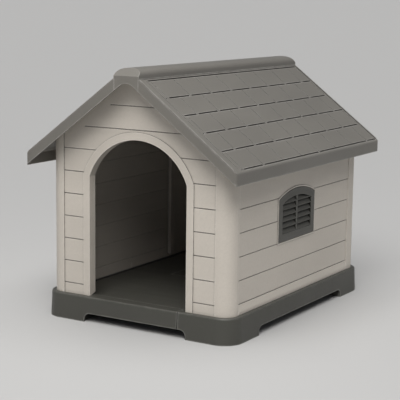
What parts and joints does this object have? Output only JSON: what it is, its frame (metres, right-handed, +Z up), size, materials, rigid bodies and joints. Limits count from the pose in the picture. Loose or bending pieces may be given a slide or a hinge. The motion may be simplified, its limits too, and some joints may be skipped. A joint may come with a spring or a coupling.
{
  "type": "plastic kennel",
  "caption": "Knock-down plastic kennel with an arched doorway, a louvred side vent, clapboard walls, a footed base and a lift-off shingle-pattern gable roof.",
  "frame": {"origin": "on the ground, under the middle of the whole kennel", "axes": "+X to the right seen from the front, -Y out of the doorway, +Z up"},
  "size_m": [0.762, 1.01, 0.808],
  "materials": {
    "base": "dark grey, fine matte grain",
    "walls": "warm light grey, fine matte grain",
    "vents": "dark grey, fine matte grain",
    "roof": "grey-brown, fine matte grain",
    "bolts": "black, smooth",
    "screws": "zinc plated"
  },
  "bodies": {
    "house": {"base_left": "base", "base_right": "base", "base_bolts": "bolts", "base_nuts": "bolts", "front_wall": "walls", "rear_wall": "walls", "left_wall": "walls", "right_wall": "walls", "side_vent": "vents", "sill_screws": "screws", "wall_screws": "screws"},
    "roof": {"roof_left": "roof", "roof_right": "roof", "ridge_cap": "roof", "ridge_bolts": "bolts", "ridge_nuts": "bolts", "cap_screws": "screws"}
  },
  "joints": [
    {"name": "roof_lift", "type": "slide", "parent": "house", "child": "roof", "axis": [0, 0, 1], "range_m": [0, 0.35]}
  ]
}
